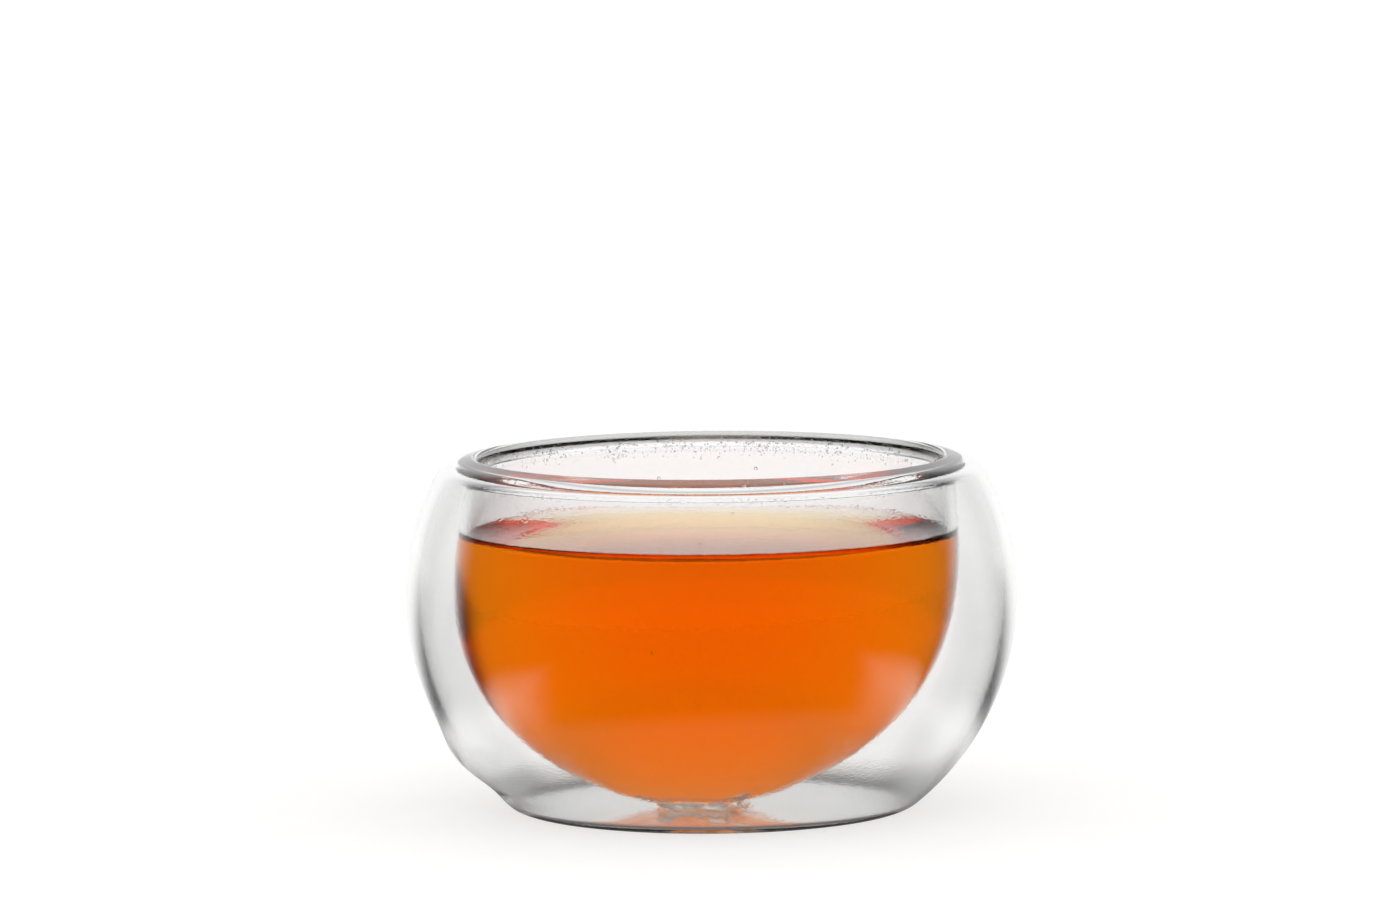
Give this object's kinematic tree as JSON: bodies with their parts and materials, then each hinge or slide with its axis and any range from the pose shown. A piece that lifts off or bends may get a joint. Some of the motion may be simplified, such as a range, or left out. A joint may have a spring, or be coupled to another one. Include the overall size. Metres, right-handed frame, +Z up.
{
  "type": "glass cup of black tea",
  "caption": "Round double-walled glass cup, a sealed jacket round a hanging bowl, filled with clear amber black tea and standing on its flat foot.",
  "frame": {"origin": "centre of the foot, on the surface the cup stands on", "axes": "+Z up through the mouth; +X to the right and +Y away as seen from the side where the bowl leans left"},
  "size_m": [0.09, 0.09, 0.052],
  "materials": {
    "borosilicate_glass": "clear, fire-polished",
    "black_tea": "clear amber liquid"
  },
  "bodies": {
    "root": {"glass": "borosilicate_glass", "tea": "black_tea"}
  },
  "joints": []
}
